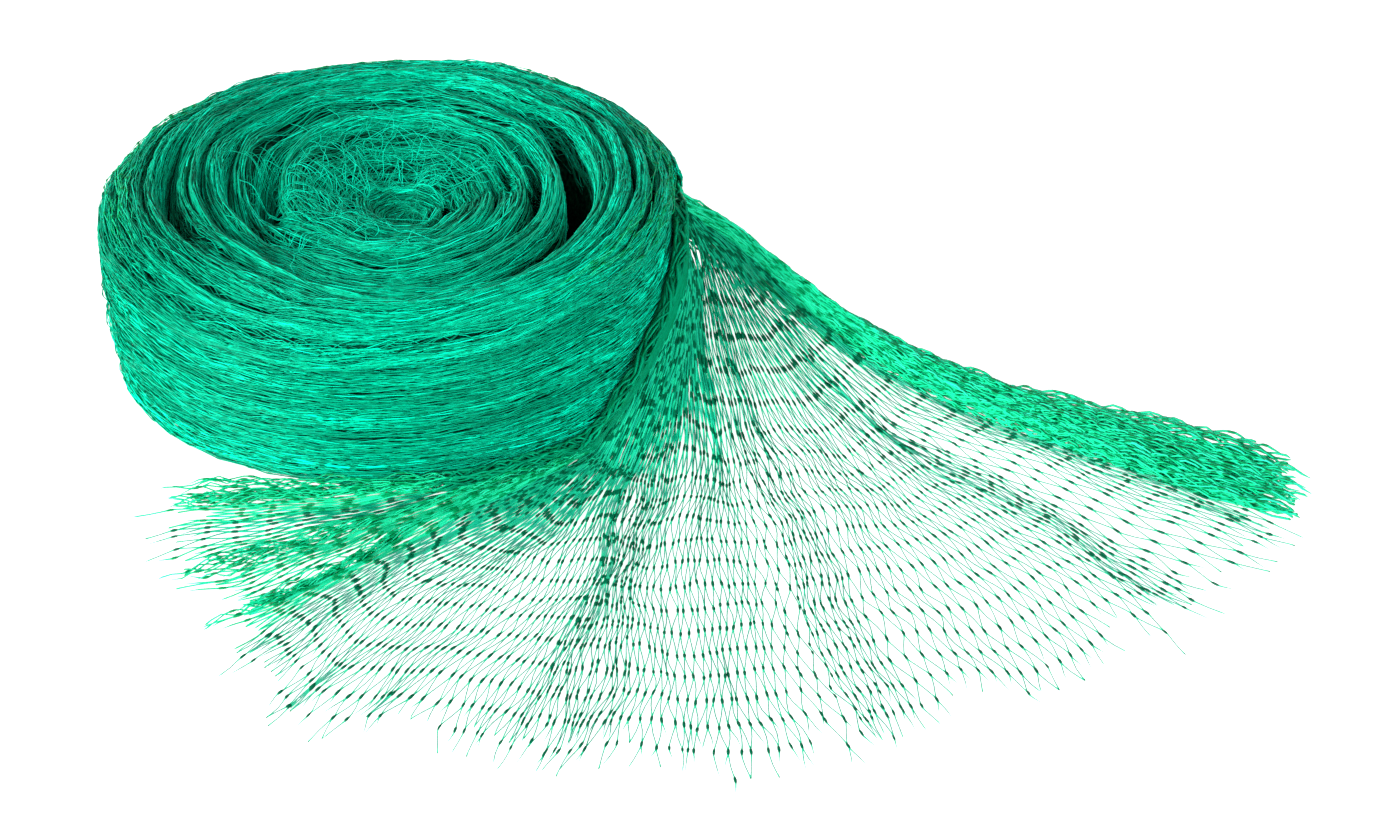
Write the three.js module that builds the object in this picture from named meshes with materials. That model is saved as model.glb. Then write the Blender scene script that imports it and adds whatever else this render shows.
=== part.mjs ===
// A roll of green plastic mesh netting: the net is gathered into a soft band, wound flat on
// its side, and its free end leaves the roll at one side and spreads over the ground as a fan.
// Millimetres, +Z up. The roll and the fan stand on z = 0, and the origin is the middle of
// the whole object's footprint. The winding runs outward clockwise seen from above.

import * as THREE from 'three';

// ---- Roll ----
const ROLL_RADIUS = 124.5;     // at the leaving point, where the winding is widest
const ROLL_HEIGHT = 86;
const CORE_RADIUS = 20;
const CORE_HOLE_RADIUS = 4;
const CORE_HEIGHT = 62;
const WIDE_LAPS = 3;
const THIN_LAPS = 4;
const THIN_LAP_PITCH = 9.5;
const SIDE_OPENING = 9;        // crescent left between the wide and the thin laps, on the fan's side
const EDGE_DROP = 20;          // how far the outermost lap sits below the roll's full height
const EDGE_LIFT = 5;           // how far the outermost lap's foot stands off the ground
const LAP_CHAMFER = 2.5;

// ---- Where the net leaves the roll ----
const LEAVING_ANGLE = 9;       // degrees about the roll's axis, from +X
const LEAVING_HEIGHT = 64;
const TAIL_END_ANGLE = -110;
const TAIL_END_HEIGHT = 7;
const TAIL_FALL = 1.6;         // power of the curve by which the tail loses its height
const THROAT_LENGTH = 45;      // from the leaving point to the first strips of the fan

// ---- Fan on the ground ----
const FAN_RADIUS = 228;
const FAN_OFFSET = 18.6;       // from the leaving point to the fan's centre, along +X
const FAN_SETBACK = 50;        // from the roll's foremost face back to the fan's centre
const RIM_MARGIN = 15;         // least distance from the roll to the fan's rim
const RIM_FLATTENING = 14;     // how far the rim is drawn in on its right-hand side
const NET_THICKNESS = 3;
const PLEAT_HEIGHT = 6;
const GATHER_HEIGHT = 7;
const LEFT_BUNCH_HEIGHT = 8;
const RIGHT_BUNCH_HEIGHT = 15;
const SLOPE_LENGTH = 150;      // ground covered while the net comes down from the roll
const CLEARANCE = 0.3;

// The fan's stretches in order round its rim, each with the rim angle where it ends, in
// degrees about the fan's centre, its height on the ground and how far its top is rounded.
const RIM_START = -8.7;
const STRETCHES = [
  { name: 'right_selvedge_bunch', end: -20, height: RIGHT_BUNCH_HEIGHT, crown: 0.7 },
  { name: 'fan_panel_1', end: -34, height: NET_THICKNESS, crown: 0 },
  { name: 'pleat_1', end: -38, height: PLEAT_HEIGHT, crown: 0.5 },
  { name: 'fan_panel_2', end: -56, height: NET_THICKNESS, crown: 0 },
  { name: 'fan_panel_3', end: -73, height: NET_THICKNESS, crown: 0 },
  { name: 'pleat_2', end: -76.5, height: PLEAT_HEIGHT, crown: 0.5 },
  { name: 'fan_panel_4', end: -90, height: NET_THICKNESS, crown: 0 },
  { name: 'fan_panel_5', end: -102, height: NET_THICKNESS, crown: 0 },
  { name: 'pleat_3', end: -110, height: PLEAT_HEIGHT, crown: 0.5 },
  { name: 'fan_panel_6', end: -126, height: NET_THICKNESS, crown: 0 },
  { name: 'fan_panel_7', end: -141, height: NET_THICKNESS, crown: 0 },
  { name: 'left_gather_1', end: -145, height: GATHER_HEIGHT, crown: 0.5 },
  { name: 'fan_panel_8', end: -148.5, height: NET_THICKNESS, crown: 0 },
  { name: 'left_gather_2', end: -152.5, height: GATHER_HEIGHT, crown: 0.5 },
  { name: 'fan_panel_9', end: -160, height: NET_THICKNESS, crown: 0 },
  { name: 'left_selvedge_bunch', end: -169, height: LEFT_BUNCH_HEIGHT, crown: 0.7 },
];

// ---- Values that follow from the ones above ----
const LAP_STEPS = 30;
const TAPER_STEPS = 6;         // steps left off where a lap would taper to nothing
const TAIL_STEPS = 10;
const STRIP_STEPS = 6;
const STRIP_ACROSS = 4;
const THROAT_STEPS = 6;
const THROAT_LAST_RIM = -94;
const THIN_START_RADIUS = ROLL_RADIUS - (THIN_LAPS + 1) * THIN_LAP_PITCH;
const WIDE_OUTER_RADIUS = THIN_START_RADIUS - SIDE_OPENING / 2;
const WIDE_LAP_PITCH = (WIDE_OUTER_RADIUS - CORE_RADIUS) / WIDE_LAPS;
const WIDE_SHIFT = -(SIDE_OPENING / 2 - CLEARANCE);
const FREE_RADIUS = ROLL_RADIUS + 2 * CLEARANCE;
const FREE_LENGTH = Math.sqrt(FREE_RADIUS ** 2 - ROLL_RADIUS ** 2);
const LEAVING_POINT = onCircle(ROLL_RADIUS, LEAVING_ANGLE);
const FAN_CENTRE = new THREE.Vector2(LEAVING_POINT.x + FAN_OFFSET, FAN_SETBACK - ROLL_RADIUS);

function onCircle(radius, degrees) {
  const angle = THREE.MathUtils.degToRad(degrees);
  return new THREE.Vector2(radius * Math.cos(angle), radius * Math.sin(angle));
}

// A closed solid through a row of sections, each a ring of the same number of points that
// runs clockwise when looking from the first section towards the last. Each end is closed
// by rungs from the first half of its ring to the second.
function solidThrough(sections) {
  const size = sections[0].length;
  const index = [];
  for (let row = 0; row + 1 < sections.length; row += 1) {
    for (let k = 0; k < size; k += 1) {
      const a = row * size + k;
      const b = row * size + ((k + 1) % size);
      index.push(a, b, b + size, a, b + size, a + size);
    }
  }
  const lastRow = (sections.length - 1) * size;
  for (let low = 0, high = size - 1; low + 1 < high; low += 1, high -= 1) {
    index.push(low, high, low + 1);
    index.push(lastRow + low, lastRow + low + 1, lastRow + high);
    if (low + 1 < high - 1) {
      index.push(low + 1, high, high - 1);
      index.push(lastRow + low + 1, lastRow + high - 1, lastRow + high);
    }
  }
  const geometry = new THREE.BufferGeometry();
  const positions = sections.flat().flatMap((point) => point.toArray());
  geometry.setAttribute('position', new THREE.Float32BufferAttribute(positions, 3));
  geometry.setIndex(index);
  geometry.computeVertexNormals();
  return geometry;
}

function netMesh(name, geometry, colour) {
  const material = new THREE.MeshStandardMaterial({ color: colour, roughness: 0.45, metalness: 0 });
  const mesh = new THREE.Mesh(geometry, material);
  mesh.name = name;
  return mesh;
}

// ---- Roll ----

// The top of the roll dips towards its core and rounds off at its outer edge.
function topHeight(radius) {
  const rise = Math.sin((Math.PI / 2) * Math.min(1, radius / (0.7 * ROLL_RADIUS)));
  const edge = Math.max(0, (radius / ROLL_RADIUS - 0.72) / 0.28);
  return CORE_HEIGHT + (ROLL_HEIGHT - CORE_HEIGHT) * rise - EDGE_DROP * edge ** 2;
}

function footHeight(radius) {
  const edge = Math.max(0, (radius / ROLL_RADIUS - 0.86) / 0.14);
  return EDGE_LIFT * Math.min(1, edge) ** 2;
}

// One upright section of a lap between two radii: chamfered foot, rounded top.
function lapSection(inner, outer, foot, top, degrees, shift) {
  const half = (outer - inner) / 2;
  const middle = (outer + inner) / 2;
  const chamfer = Math.min(LAP_CHAMFER, half / 2);
  const outline = [
    [-half + chamfer, foot],
    [half - chamfer, foot],
    [half, foot + chamfer],
    [half, top - 1.2 * half],
    [0.6 * half, top - 0.35 * half],
    [0, top],
    [-0.6 * half, top - 0.35 * half],
    [-half, top - 1.2 * half],
    [-half, foot + chamfer],
  ];
  return outline.map(([across, up]) => {
    const place = onCircle(middle + across, degrees);
    return new THREE.Vector3(place.x + shift, place.y, up);
  });
}

// One turn of a winding, or the part of it between two steps. spiral gives the radius of the
// winding's faces after a number of turns: a lap lies between it and the next turn's face.
// All laps share their step angles, so their facets nest.
function lap(number, spiral, firstStep, lastStep, shift) {
  const sections = [];
  for (let step = firstStep; step <= lastStep; step += 1) {
    const turn = Math.min(step / LAP_STEPS, 1 - endGap(spiral(number)));
    const inner = spiral(number - 1 + turn);
    const outer = spiral(number + turn) - CLEARANCE;
    const degrees = LEAVING_ANGLE - turn * 360;
    const middle = (inner + outer) / 2;
    sections.push(lapSection(inner, outer, footHeight(middle), topHeight(middle), degrees, shift));
  }
  return solidThrough(sections);
}

// The share of a turn that keeps one lap's end clear of the next lap's start.
function endGap(radius) {
  return CLEARANCE / (2 * Math.PI * radius);
}

// The wide laps fill the ring round the core: the first and the last taper to a thin end.
function wideLap(number) {
  const turns = (count) => THREE.MathUtils.clamp(count, 0, WIDE_LAPS);
  const spiral = (count) => CORE_RADIUS + WIDE_LAP_PITCH * turns(count);
  const firstStep = number === 0 ? TAPER_STEPS : 0;
  const lastStep = number === WIDE_LAPS ? LAP_STEPS - TAPER_STEPS : LAP_STEPS;
  return lap(number, spiral, firstStep, lastStep, WIDE_SHIFT);
}

// The thin laps run on from there to the leaving point, at full thickness.
function thinLap(number) {
  const spiral = (count) => THIN_START_RADIUS + THIN_LAP_PITCH * Math.max(0, count);
  return lap(number, spiral, number === 0 ? TAPER_STEPS : 0, LAP_STEPS, 0);
}

function core() {
  const outer = CORE_RADIUS - CLEARANCE;
  const dip = 0.15 * CORE_HEIGHT;
  const profile = [
    new THREE.Vector2(CORE_HOLE_RADIUS, 0),
    new THREE.Vector2(outer, 0),
    new THREE.Vector2(outer, CORE_HEIGHT - dip / 3),
    new THREE.Vector2(0.75 * outer, CORE_HEIGHT),
    new THREE.Vector2(CORE_HOLE_RADIUS, CORE_HEIGHT - dip),
    new THREE.Vector2(CORE_HOLE_RADIUS, 0),
  ];
  const geometry = new THREE.LatheGeometry(profile, 20);
  geometry.rotateX(Math.PI / 2);
  geometry.translate(WIDE_SHIFT, 0, 0);
  return geometry;
}

// ---- Where the net leaves the roll ----

// The gathered band goes on past the leaving point as the winding's next turn, and loses
// height as the fan's left half comes off it.
function tail() {
  const sections = [];
  for (let step = 0; step <= TAIL_STEPS; step += 1) {
    const along = step / TAIL_STEPS;
    const degrees = THREE.MathUtils.lerp(LEAVING_ANGLE, TAIL_END_ANGLE, along);
    const turn = (LEAVING_ANGLE - degrees) / 360;
    const inner = ROLL_RADIUS - THIN_LAP_PITCH * (1 - turn);
    const top = TAIL_END_HEIGHT + (LEAVING_HEIGHT - TAIL_END_HEIGHT) * (1 - along) ** TAIL_FALL;
    sections.push([
      [inner, 0],
      [ROLL_RADIUS, 0],
      [ROLL_RADIUS, 0.8 * top],
      [inner, top],
    ].map(([radius, up]) => {
      const place = onCircle(radius, degrees);
      return new THREE.Vector3(place.x, place.y, up);
    }));
  }
  return solidThrough(sections);
}

// ---- Fan ----

function rimPoint(degrees) {
  const drawnIn = RIM_FLATTENING * Math.exp(-(((degrees + 48) / 25) ** 2));
  const place = onCircle(FAN_RADIUS - drawnIn, degrees).add(FAN_CENTRE);
  return place.clampLength(ROLL_RADIUS + RIM_MARGIN, Infinity);
}

// Each strand of the fan runs straight from the rim to the leaving point or, further left,
// to the point where it touches the roll. Its free stretch starts past the throat, or just
// clear of the tail where the throat has ended.
function strandTo(degrees) {
  const rim = rimPoint(degrees);
  const touching = Math.atan2(rim.y, rim.x) + Math.acos(ROLL_RADIUS / rim.length());
  const leaving = Math.min(LEAVING_ANGLE, THREE.MathUtils.radToDeg(touching));
  const from = onCircle(ROLL_RADIUS, leaving);
  const direction = rim.clone().sub(from).normalize();
  const followed = ROLL_RADIUS * THREE.MathUtils.degToRad(LEAVING_ANGLE - leaving);
  const inThroat = Math.max(FREE_LENGTH, THROAT_LENGTH - followed);
  return { start: from.addScaledVector(direction, inThroat), rim, direction };
}

// Height of the net above the ground: it comes down from the leaving height within the
// slope length, and lies at its own height beyond that.
function netHeight(place, own) {
  const reach = place.distanceTo(LEAVING_POINT) / SLOPE_LENGTH;
  return own + (LEAVING_HEIGHT - NET_THICKNESS) * Math.max(0, 1 - reach) ** 2;
}

// A ring round one cross-section: along the ground one way, back over the top.
function stripSection(places, own, crown) {
  const last = places.length - 1;
  const ground = places.map((place) => new THREE.Vector3(place.x, place.y, 0));
  const over = places.map((place, k) => {
    const rounding = 1 - crown * (2 * k / last - 1) ** 2;
    return new THREE.Vector3(place.x, place.y, netHeight(place, own * rounding));
  });
  return [...ground.reverse(), ...over];
}

// The strip of net between two rim angles, half a clearance inside each of its edges.
function strip(from, to, own, crown) {
  const strands = [];
  for (let k = 0; k <= STRIP_ACROSS; k += 1) {
    const strand = strandTo(THREE.MathUtils.lerp(from, to, k / STRIP_ACROSS));
    const inward = (k === 0 ? 1 : 0) - (k === STRIP_ACROSS ? 1 : 0);
    const side = new THREE.Vector2(strand.direction.y, -strand.direction.x);
    side.multiplyScalar(inward * CLEARANCE / 2);
    strands.push({ start: strand.start.add(side), rim: strand.rim.add(side) });
  }
  const sections = [];
  for (let step = 0; step <= STRIP_STEPS; step += 1) {
    const places = strands.map(({ start, rim }) => start.clone().lerp(rim, step / STRIP_STEPS));
    sections.push(stripSection(places, own, crown));
  }
  return solidThrough(sections);
}

// The wedge between the leaving point and the first strips of the fan. Its outline runs
// along the starts of those strips and back over the tail's outer face.
function throat() {
  const outline = [];
  for (let k = 0; k <= THROAT_STEPS; k += 1) {
    const strand = strandTo(THREE.MathUtils.lerp(RIM_START, THROAT_LAST_RIM, k / THROAT_STEPS));
    outline.push(strand.start.addScaledVector(strand.direction, -CLEARANCE));
  }
  const end = outline[THROAT_STEPS];
  const endAngle = THREE.MathUtils.radToDeg(Math.atan2(end.y, end.x));
  for (let k = 1; k < THROAT_STEPS; k += 1) {
    const degrees = THREE.MathUtils.lerp(endAngle, LEAVING_ANGLE, k / THROAT_STEPS);
    outline.push(onCircle(FREE_RADIUS, degrees));
  }
  const ground = outline.map((place) => new THREE.Vector3(place.x, place.y, 0));
  const over = outline.map((place) => new THREE.Vector3(place.x, place.y, netHeight(place, NET_THICKNESS)));
  return solidThrough([over, ground]);
}

// ---- Assembly ----

const NET_GREEN = 0x00a878;
const BUNCH_GREEN = 0x00b366;
const roll = new THREE.Group();
roll.add(netMesh('roll_core', core(), NET_GREEN));
for (let number = 0; number <= WIDE_LAPS; number += 1) {
  roll.add(netMesh(`wide_lap_${number + 1}`, wideLap(number), NET_GREEN));
}
for (let number = 0; number <= THIN_LAPS; number += 1) {
  roll.add(netMesh(`thin_lap_${number + 1}`, thinLap(number), NET_GREEN));
}
roll.add(netMesh('unwinding_tail', tail(), NET_GREEN));

const fan = new THREE.Group();
fan.add(netMesh('fan_throat', throat(), NET_GREEN));
let stretchStart = RIM_START;
for (const { name, end, height, crown } of STRETCHES) {
  fan.add(netMesh(name, strip(stretchStart, end, height, crown), crown > 0 ? BUNCH_GREEN : NET_GREEN));
  stretchStart = end;
}

const netting = new THREE.Group();
netting.add(roll, fan);
const middle = new THREE.Box3().setFromObject(netting).getCenter(new THREE.Vector3());
netting.position.set(-middle.x, -middle.y, 0);

export default netting;
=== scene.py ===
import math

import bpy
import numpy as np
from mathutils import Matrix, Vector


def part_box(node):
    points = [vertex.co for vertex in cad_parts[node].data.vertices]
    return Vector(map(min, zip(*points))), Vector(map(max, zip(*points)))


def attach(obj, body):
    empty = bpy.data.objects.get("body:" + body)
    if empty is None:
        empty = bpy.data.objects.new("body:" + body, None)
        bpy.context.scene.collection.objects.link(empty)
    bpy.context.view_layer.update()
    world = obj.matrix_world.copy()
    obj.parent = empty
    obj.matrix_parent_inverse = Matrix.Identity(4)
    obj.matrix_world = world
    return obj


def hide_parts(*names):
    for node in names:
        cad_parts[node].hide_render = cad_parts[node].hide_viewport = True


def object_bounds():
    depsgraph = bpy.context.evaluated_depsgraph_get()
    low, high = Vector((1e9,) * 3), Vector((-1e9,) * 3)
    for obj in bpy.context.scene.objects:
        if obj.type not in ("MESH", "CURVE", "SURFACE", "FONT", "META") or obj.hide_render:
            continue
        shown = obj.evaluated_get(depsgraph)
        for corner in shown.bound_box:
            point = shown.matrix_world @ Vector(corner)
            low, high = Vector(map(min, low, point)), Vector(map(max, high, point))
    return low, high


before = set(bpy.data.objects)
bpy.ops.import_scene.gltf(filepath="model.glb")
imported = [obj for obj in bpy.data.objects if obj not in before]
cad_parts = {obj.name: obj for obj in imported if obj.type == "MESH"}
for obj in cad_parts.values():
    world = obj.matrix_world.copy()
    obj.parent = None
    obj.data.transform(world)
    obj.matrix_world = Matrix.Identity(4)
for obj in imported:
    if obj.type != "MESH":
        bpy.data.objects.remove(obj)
cad_low, cad_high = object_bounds()

# A roll of green plastic mesh netting with its free end spread on the floor as a fan.
# The net is made as what it is: long strands that zigzag from joint to joint, laid out on
# the floor, gathered into bunches and wound round the roll. Lengths in the net's own layout
# are millimetres from the roll's axis; pieces are placed in metres.

MM = 0.001
SEED = 41

# ---- Sizes of the roll ----
core_low, core_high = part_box("roll_core")
tail_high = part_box("unwinding_tail")[1]
fan_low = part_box("fan_panel_4")[0]

CORE_SHIFT = 4.2               # from the core's middle to the roll's axis, along +X
AXIS_X = (core_low.x + core_high.x) / 2 + CORE_SHIFT * MM
AXIS_Y = (core_low.y + core_high.y) / 2
ROLL_RADIUS = (tail_high.x - AXIS_X) / MM
ROLL_HEIGHT = cad_high.z / MM
SWIRL_HEIGHT = 65.0            # of the roll's top at its axis
FRONT_SLUMP = 15.0             # how much lower the laps lie at the front
EDGE_DROP = 20                 # how far the top falls away towards its edge
EDGE_LIFT = 5                  # how far the foot rises towards its edge
CORE_RADIUS = 20
CORE_OFFSET = (8.0, -22.0)     # the swirl's middle from the roll's axis
SWIRL_START = 3                # radius where the swirl starts
SWIRL_PITCH = 4.2
SWIRL_TURNS = 4.0
SWIRL_SHIFT = -CORE_SHIFT / 4
WIDE_LAPS = 3
WIDE_TURNS = WIDE_LAPS + 0.8   # the wide winding ends part of the way round
THIN_LAPS = 5
THIN_PITCH = 9.5
LAP_GAP = 4.5                  # between the wide laps and the thin ones
THIN_START = ROLL_RADIUS - THIN_LAPS * THIN_PITCH
WIDE_END = THIN_START - LAP_GAP
GAP_RADIUS = (THIN_START + WIDE_END) / 2
WIDE_PITCH = (WIDE_END - CORE_RADIUS) / WIDE_LAPS
FIRST_TURN = 0.2               # where each winding starts
LEAVING_ANGLE = 9.0            # degrees about the roll's axis

# ---- Sizes of the net ----
BAR = 14.6                     # from one row of joints to the next along a strand
BAR_RADIUS = 0.235             # of a spread strand in the middle of a bar
JOINT_RADIUS = 0.6
TIP_SHARE = 0.3                # a strand's end against the strand
BAND = 0.004                   # half the breadth of a strand's band on its map
REST_HEIGHT = 0.8              # of a strand's middle where it lies on the floor
LEAST_TONE, MOST_TONE = 0.02, 0.98
FAN_OFFSET = 18.6              # from the leaving point to the fan's middle, along +X
FAN_SETBACK = 50               # from the roll's front to the fan's middle, along +Y
FAN_X = ROLL_RADIUS * math.cos(math.radians(LEAVING_ANGLE)) + FAN_OFFSET
FAN_Y = FAN_SETBACK - ROLL_RADIUS
FAN_RADIUS = FAN_Y - (fan_low.y - AXIS_Y) / MM

rng = np.random.default_rng(SEED)


# ---- Small helpers ----

def ease(x):
    x = np.clip(x, 0, 1)
    return x * x * (3 - 2 * x)


def hump(x, middle, width):
    return np.exp(-(((x - middle) / width) ** 2))


def turn_gap(angle, middle):
    """Signed difference of two angles in degrees, from -180 to 180."""
    return (angle - middle + 180) % 360 - 180


def hump_round(degrees, middle, width):
    return hump(turn_gap(degrees, middle), 0, width)


class Wander:
    """Smooth random drift over two coordinates, about -1 to 1, from a few long waves."""

    def __init__(self, length_x, length_y, waves=7):
        heading = rng.uniform(0, 2 * math.pi, waves)
        stretch = rng.uniform(0.6, 1.7, waves)
        self.kx = 2 * math.pi * np.cos(heading) * stretch / length_x
        self.ky = 2 * math.pi * np.sin(heading) * stretch / length_y
        self.start = rng.uniform(0, 2 * math.pi, waves)

    def __call__(self, x, y=0.0):
        x, y = np.broadcast_arrays(np.asarray(x, float), np.asarray(y, float))
        total = np.zeros(x.shape)
        for kx, ky, start in zip(self.kx, self.ky, self.start):
            total += np.sin(kx * x + ky * y + start)
        return total / math.sqrt(len(self.kx)) * 0.9


# ---- Shader maths ----

class Value:
    """A node's output socket that takes part in Python arithmetic."""

    def __init__(self, finish, socket):
        self.finish = finish
        self.socket = socket

    def _with(self, operation, first, second):
        return self.finish.node("ShaderNodeMath", {"operation": operation}, {0: first, 1: second})

    def __sub__(self, other):
        return self._with("SUBTRACT", self, other)

    def __rsub__(self, other):
        return self._with("SUBTRACT", other, self)

    def __truediv__(self, other):
        return self._with("DIVIDE", self, other)

    def __rtruediv__(self, other):
        return self._with("DIVIDE", other, self)


class Finish:
    """A material under construction."""

    def __init__(self, name, **constants):
        self.material = bpy.data.materials.new(name)
        self.material.use_nodes = True
        self.tree = self.material.node_tree
        self.tree.nodes.clear()
        out = self.tree.nodes.new("ShaderNodeOutputMaterial")
        self.shader = self.tree.nodes.new("ShaderNodeBsdfPrincipled")
        self.tree.links.new(self.shader.outputs[0], out.inputs[0])
        for socket, constant in constants.items():
            self.shader.inputs[socket.replace("_", " ")].default_value = constant

    def node(self, kind, settings=None, sockets=None, output=0):
        made = self.tree.nodes.new(kind)
        for key, setting in (settings or {}).items():
            if key == "stops":
                ramp = made.color_ramp
                while len(ramp.elements) < len(setting):
                    ramp.elements.new(1.0)
                for element, (position, colour) in zip(ramp.elements, setting):
                    element.position = position
                    element.color = (*colour, 1.0)
            else:
                setattr(made, key, setting)
        for key, given in (sockets or {}).items():
            if isinstance(given, Value):
                self.tree.links.new(given.socket, made.inputs[key])
            else:
                made.inputs[key].default_value = given
        return Value(self, made.outputs[output])

    def blend(self, share, first, second):
        """A mix of two colours: all first at a share of 0 or less, all second from 1 on."""
        first, second = (colour if isinstance(colour, Value) else (*colour, 1.0)
                         for colour in (first, second))
        return self.node("ShaderNodeMix", {"data_type": "RGBA"}, {0: share, 6: first, 7: second}, 2)

    def feed(self, socket, value):
        self.tree.links.new(value.socket, self.shader.inputs[socket])


# ---- Finishes ----

def strand_finish(name, joint, neck, tones, neck_tone=0.6):
    """Extruded plastic strand: dark at its thick joints, paler where it is drawn thin. Its
    map's first number is the nearness along a bar, the second one the strand's tone."""
    made = Finish(name, Roughness=0.42, IOR=1.5, Specular_IOR_Level=0.16,
                  Specular_Tint=(0.12, 1.0, 0.75, 1.0))
    place = made.node("ShaderNodeUVMap", {"uv_map": "OFBake"})
    along = made.node("ShaderNodeSeparateXYZ", None, {"Vector": place}, "X")
    shade = made.node("ShaderNodeSeparateXYZ", None, {"Vector": place}, "Y")
    stops = [(index / (len(tones) - 1), tone) for index, tone in enumerate(tones)]
    tone = made.node("ShaderNodeValToRGB", {"stops": stops}, {0: shade})
    past_joint = (along - 0.16) / 0.10
    past_neck = (along - 0.36) / 0.49
    toned_neck = made.blend(neck_tone, neck, tone)
    made.feed("Base Color", made.blend(past_joint, joint, made.blend(past_neck, toned_neck, tone)))
    return made.material


def packed_shade_finish():
    """The net packed under the surface strands, streaked; its near-black green is painted shade for
    the gaps between the strands.
    """
    made = Finish("packed_netting", Roughness=0.6, Specular_IOR_Level=0.04)
    where = made.node("ShaderNodeTexCoord", output="Object")
    streak = made.node("ShaderNodeTexNoise", {"noise_dimensions": "3D"},
                       {"Vector": where, "Scale": 420.0, "Detail": 3.0, "Roughness": 0.6})
    # painted shade: the packed net is near-black green, far darker than the strands, so the gaps
    # between them read as shadowed
    stops = [(0.38, (0.0, 0.012, 0.006)), (0.66, (0.0, 0.10, 0.055))]
    made.feed("Base Color", made.node("ShaderNodeValToRGB", {"stops": stops}, {0: streak}))
    bump = made.node("ShaderNodeBump", None, {"Height": streak, "Strength": 0.6, "Distance": 0.001})
    made.feed("Normal", bump)
    return made.material


# ---- Meshes ----

def place_piece(name, mesh, replaced=()):
    piece = bpy.data.objects.new(name, mesh)
    bpy.context.scene.collection.objects.link(piece)
    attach(piece, "root")
    if replaced:
        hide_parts(*replaced)
    return piece


def mesh_from(name, points, corners, starts, totals, material):
    mesh = bpy.data.meshes.new(name)
    mesh.vertices.add(len(points))
    mesh.vertices.foreach_set("co", np.ascontiguousarray(points, np.float32).ravel())
    mesh.loops.add(len(corners))
    mesh.loops.foreach_set("vertex_index", np.ascontiguousarray(corners, np.int32))
    mesh.polygons.add(len(starts))
    mesh.polygons.foreach_set("loop_start", np.ascontiguousarray(starts, np.int32))
    mesh.polygons.foreach_set("loop_total", np.ascontiguousarray(totals, np.int32))
    mesh.materials.append(material)
    mesh.update(calc_edges=True)
    mesh.shade_smooth()
    return mesh


def to_frame(points):
    placed = np.asarray(points, float) * MM
    placed[..., 0] += AXIS_X
    placed[..., 1] += AXIS_Y
    return placed


def strand_mesh(name, strands, material, sides=3):
    """One mesh of many strands. Each strand is (points, radii, along, shade): along runs from
    0 at a joint to 1 in the middle of a bar, shade is the strand's tone from 0 to 1, one for
    the whole strand or one for each point."""
    points = np.concatenate([s[0] for s in strands])
    radii = np.concatenate([s[1] for s in strands])
    along = np.concatenate([s[2] for s in strands])
    counts = np.array([len(s[0]) for s in strands])
    shades = np.concatenate([np.broadcast_to(s[3], len(s[0])) for s in strands])
    ends = np.cumsum(counts)
    firsts = ends - counts
    total = len(points)
    after = np.minimum(np.arange(total) + 1, total - 1)
    before = np.maximum(np.arange(total) - 1, 0)
    after[ends - 1] = ends - 1
    before[firsts] = firsts
    tangent = points[after] - points[before]
    tangent /= np.linalg.norm(tangent, axis=1, keepdims=True) + 1e-9
    side = np.cross(tangent, np.array([0.0, 0.0, 1.0]))
    side /= np.linalg.norm(side, axis=1, keepdims=True) + 1e-9
    up = np.cross(side, tangent)
    radii = radii.copy()
    radii[firsts] *= TIP_SHARE
    radii[ends - 1] *= TIP_SHARE
    turn = 2 * math.pi * np.arange(sides) / sides + math.pi / 6
    ring = (np.cos(turn)[None, :, None] * side[:, None, :]
            + np.sin(turn)[None, :, None] * up[:, None, :])
    shell = points[:, None, :] + ring * radii[:, None, None]

    rows = np.setdiff1d(np.arange(total), ends - 1)
    k = np.arange(sides)
    a = rows[:, None] * sides + k
    b = rows[:, None] * sides + (k + 1) % sides
    quads = np.stack([a, b, b + sides, a + sides], axis=-1).reshape(-1, 4)
    wide = BAND * (2 * np.arange(sides + 1) / sides - 1)
    u0, u1 = along[rows][:, None], along[rows + 1][:, None]
    v = shades[rows][:, None]
    one = np.ones((1, sides))
    quad_uv = np.stack([
        np.stack([u0 * one, v + wide[None, :-1]], -1),
        np.stack([u0 * one, v + wide[None, 1:]], -1),
        np.stack([u1 * one, v + wide[None, 1:]], -1),
        np.stack([u1 * one, v + wide[None, :-1]], -1),
    ], axis=2).reshape(-1, 4, 2)
    first_cap = firsts[:, None] * sides + k[::-1]
    last_cap = (ends - 1)[:, None] * sides + k
    cap_u = 0.5 + 0.02 * np.cos(turn)
    caps = np.concatenate([first_cap, last_cap])
    cap_shade = np.concatenate([shades[firsts], shades[ends - 1]])
    cap_uv = np.stack([np.broadcast_to(cap_u, caps.shape),
                       cap_shade[:, None] + BAND * np.sin(turn)[None, :]], -1)

    corners = np.concatenate([quads.ravel(), caps.ravel()])
    quad_starts = 4 * np.arange(len(quads))
    cap_starts = 4 * len(quads) + sides * np.arange(len(caps))
    starts = np.concatenate([quad_starts, cap_starts])
    totals = np.concatenate([np.full(len(quads), 4), np.full(len(caps), sides)])
    mesh = mesh_from(name, to_frame(shell).reshape(-1, 3), corners, starts, totals, material)
    layer = mesh.uv_layers.new(name="OFBake")
    flat_uv = np.concatenate([quad_uv.reshape(-1, 2), cap_uv.reshape(-1, 2)])
    layer.data.foreach_set("uv", np.ascontiguousarray(flat_uv, np.float32).ravel())
    return mesh


def place_strands(name, strands, finish, replaced=()):
    place_piece(name, strand_mesh(name, strands, finish), replaced)


# The points of one bar: how far along it each stands, its nearness to the bar's middle, and
# its share of the way to the next half-column.
BAR_STEPS = np.array([0.0, 0.06, 0.11, 0.22, 0.5, 0.78, 0.89, 0.94])
BAR_ALONG = np.array([0.0, 0.12, 0.22, 0.44, 1.0, 0.44, 0.22, 0.12])
BAR_SHIFT = np.array([0.03, 0.03, 0.05, 0.17, 0.5, 0.83, 0.95, 0.97])


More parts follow.
